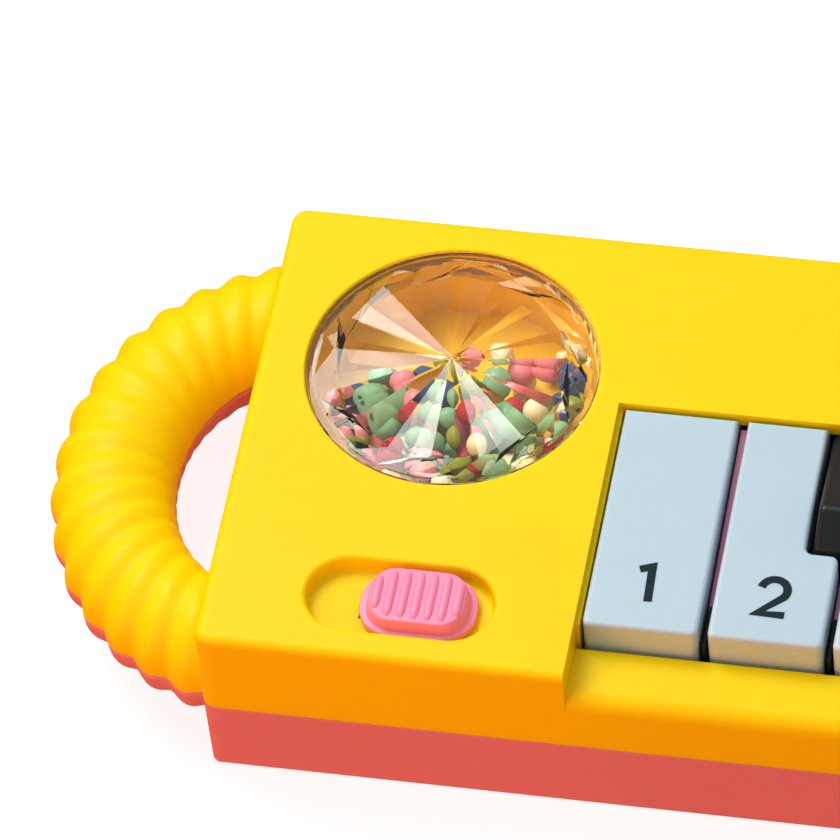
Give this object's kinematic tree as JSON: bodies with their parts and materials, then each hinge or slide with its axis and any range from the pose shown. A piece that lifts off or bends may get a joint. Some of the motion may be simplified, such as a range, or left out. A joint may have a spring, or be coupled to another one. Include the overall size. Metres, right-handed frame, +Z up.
{
  "type": "toy electronic keyboard",
  "caption": "Toy keyboard with raised end blocks, numbered white keys, fixed black keys, a round bead window, a slide switch and a ribbed carry handle.",
  "frame": {"origin": "middle of the footprint, handle included, on the surface that the feet stand on", "axes": "+X along the keyboard from the handle end to the speaker end, +Y from the player's side to the back, +Z up"},
  "size_m": [0.2346, 0.067, 0.0286],
  "materials": {
    "yellow_shell": "moulded ABS, satin gloss",
    "coral_shell": "moulded ABS, satin gloss",
    "clear_lens": "clear moulded styrene, polished",
    "amber_tray": "moulded, satin",
    "black_keys": "moulded, satin gloss",
    "white_keys": "moulded, satin gloss, faintly blue",
    "steel_parts": "nickel-plated",
    "circuit_board": "phenolic board",
    "contact_rubber": "matt silicone",
    "black_resin": "matt epoxy",
    "pink_knob": "moulded, satin",
    "speaker_cone": "pressed paper",
    "speaker_magnet": "ferrite",
    "cell_jacket": "plain printed film",
    "wire_jacket": "satin",
    "ribbon_cable": "satin",
    "foot_rubber": "matt",
    "bead_crimson": "polished",
    "bead_cream": "polished",
    "bead_navy": "polished",
    "bead_lime": "polished",
    "bead_pink": "polished",
    "bead_green": "polished"
  },
  "bodies": {
    "housing": {"battery_1": "cell_jacket", "battery_2": "cell_jacket", "battery_lead": "wire_jacket", "bead_1": "bead_crimson", "bead_10": "bead_lime", "bead_11": "bead_pink", "bead_12": "bead_green", "bead_2": "bead_cream", "bead_3": "bead_navy", "bead_4": "bead_lime", "bead_5": "bead_pink", "bead_6": "bead_green", "bead_7": "bead_crimson", "bead_8": "bead_cream", "bead_9": "bead_navy", "bead_tray": "amber_tray", "black_key_comb": "black_keys", "board_ribbon": "ribbon_cable", "bottom_housing": "coral_shell", "contact_bridge": "steel_parts", "contact_negative": "steel_parts", "contact_positive": "steel_parts", "control_board": "circuit_board", "foot_pad_1": "foot_rubber", "foot_pad_2": "foot_rubber", "foot_pad_3": "foot_rubber", "foot_pad_4": "foot_rubber", "handle_lower_half": "coral_shell", "handle_upper_half": "yellow_shell", "housing_screw_1": "steel_parts", "housing_screw_2": "steel_parts", "housing_screw_3": "steel_parts", "housing_screw_4": "steel_parts", "housing_screw_5": "steel_parts", "housing_screw_6": "steel_parts", "key_board": "circuit_board", "key_contact_strip": "contact_rubber", "key_pivot_rod": "steel_parts", "sound_chip": "black_resin", "speaker_basket": "steel_parts", "speaker_cone": "speaker_cone", "speaker_lead": "wire_jacket", "speaker_magnet": "speaker_magnet", "switch_case": "steel_parts", "top_housing": "yellow_shell", "window_lens": "clear_lens"},
    "white_key_1": {"white_key_1": "white_keys"},
    "white_key_2": {"white_key_2": "white_keys"},
    "white_key_3": {"white_key_3": "white_keys"},
    "white_key_4": {"white_key_4": "white_keys"},
    "white_key_5": {"white_key_5": "white_keys"},
    "white_key_6": {"white_key_6": "white_keys"},
    "white_key_7": {"white_key_7": "white_keys"},
    "white_key_8": {"white_key_8": "white_keys"},
    "switch_knob": {"switch_knob": "pink_knob", "switch_lever": "black_resin"},
    "battery_door": {"battery_door": "coral_shell", "battery_door_screw": "steel_parts"}
  },
  "joints": [
    {"name": "white_key_1_press", "type": "hinge", "parent": "housing", "child": "white_key_1", "pos_m": [-0.04022, 0.0165, 0.0205], "axis": [1, 0, 0], "range_deg": [0, 3.8], "stiffness_Nm_per_rad": 0.12, "springref_deg": -2.86},
    {"name": "white_key_2_press", "type": "hinge", "parent": "housing", "child": "white_key_2", "pos_m": [-0.02523, 0.0165, 0.0205], "axis": [1, 0, 0], "range_deg": [0, 3.8], "stiffness_Nm_per_rad": 0.12, "springref_deg": -2.86},
    {"name": "white_key_3_press", "type": "hinge", "parent": "housing", "child": "white_key_3", "pos_m": [-0.01022, 0.0165, 0.0205], "axis": [1, 0, 0], "range_deg": [0, 3.8], "stiffness_Nm_per_rad": 0.12, "springref_deg": -2.86},
    {"name": "white_key_4_press", "type": "hinge", "parent": "housing", "child": "white_key_4", "pos_m": [0.00477, 0.0165, 0.0205], "axis": [1, 0, 0], "range_deg": [0, 3.8], "stiffness_Nm_per_rad": 0.12, "springref_deg": -2.86},
    {"name": "white_key_5_press", "type": "hinge", "parent": "housing", "child": "white_key_5", "pos_m": [0.01978, 0.0165, 0.0205], "axis": [1, 0, 0], "range_deg": [0, 3.8], "stiffness_Nm_per_rad": 0.12, "springref_deg": -2.86},
    {"name": "white_key_6_press", "type": "hinge", "parent": "housing", "child": "white_key_6", "pos_m": [0.03478, 0.0165, 0.0205], "axis": [1, 0, 0], "range_deg": [0, 3.8], "stiffness_Nm_per_rad": 0.12, "springref_deg": -2.86},
    {"name": "white_key_7_press", "type": "hinge", "parent": "housing", "child": "white_key_7", "pos_m": [0.04977, 0.0165, 0.0205], "axis": [1, 0, 0], "range_deg": [0, 3.8], "stiffness_Nm_per_rad": 0.12, "springref_deg": -2.86},
    {"name": "white_key_8_press", "type": "hinge", "parent": "housing", "child": "white_key_8", "pos_m": [0.06477, 0.0165, 0.0205], "axis": [1, 0, 0], "range_deg": [0, 3.8], "stiffness_Nm_per_rad": 0.12, "springref_deg": -2.86},
    {"name": "switch_slide", "type": "slide", "parent": "housing", "child": "switch_knob", "axis": [1, 0, 0], "range_m": [-0.0061, 0.0017]},
    {"name": "battery_door_hinge", "type": "hinge", "parent": "housing", "child": "battery_door", "pos_m": [-0.00953, -0.00315, 0.0019], "axis": [0, 1, 0], "range_deg": [0, 80]}
  ]
}
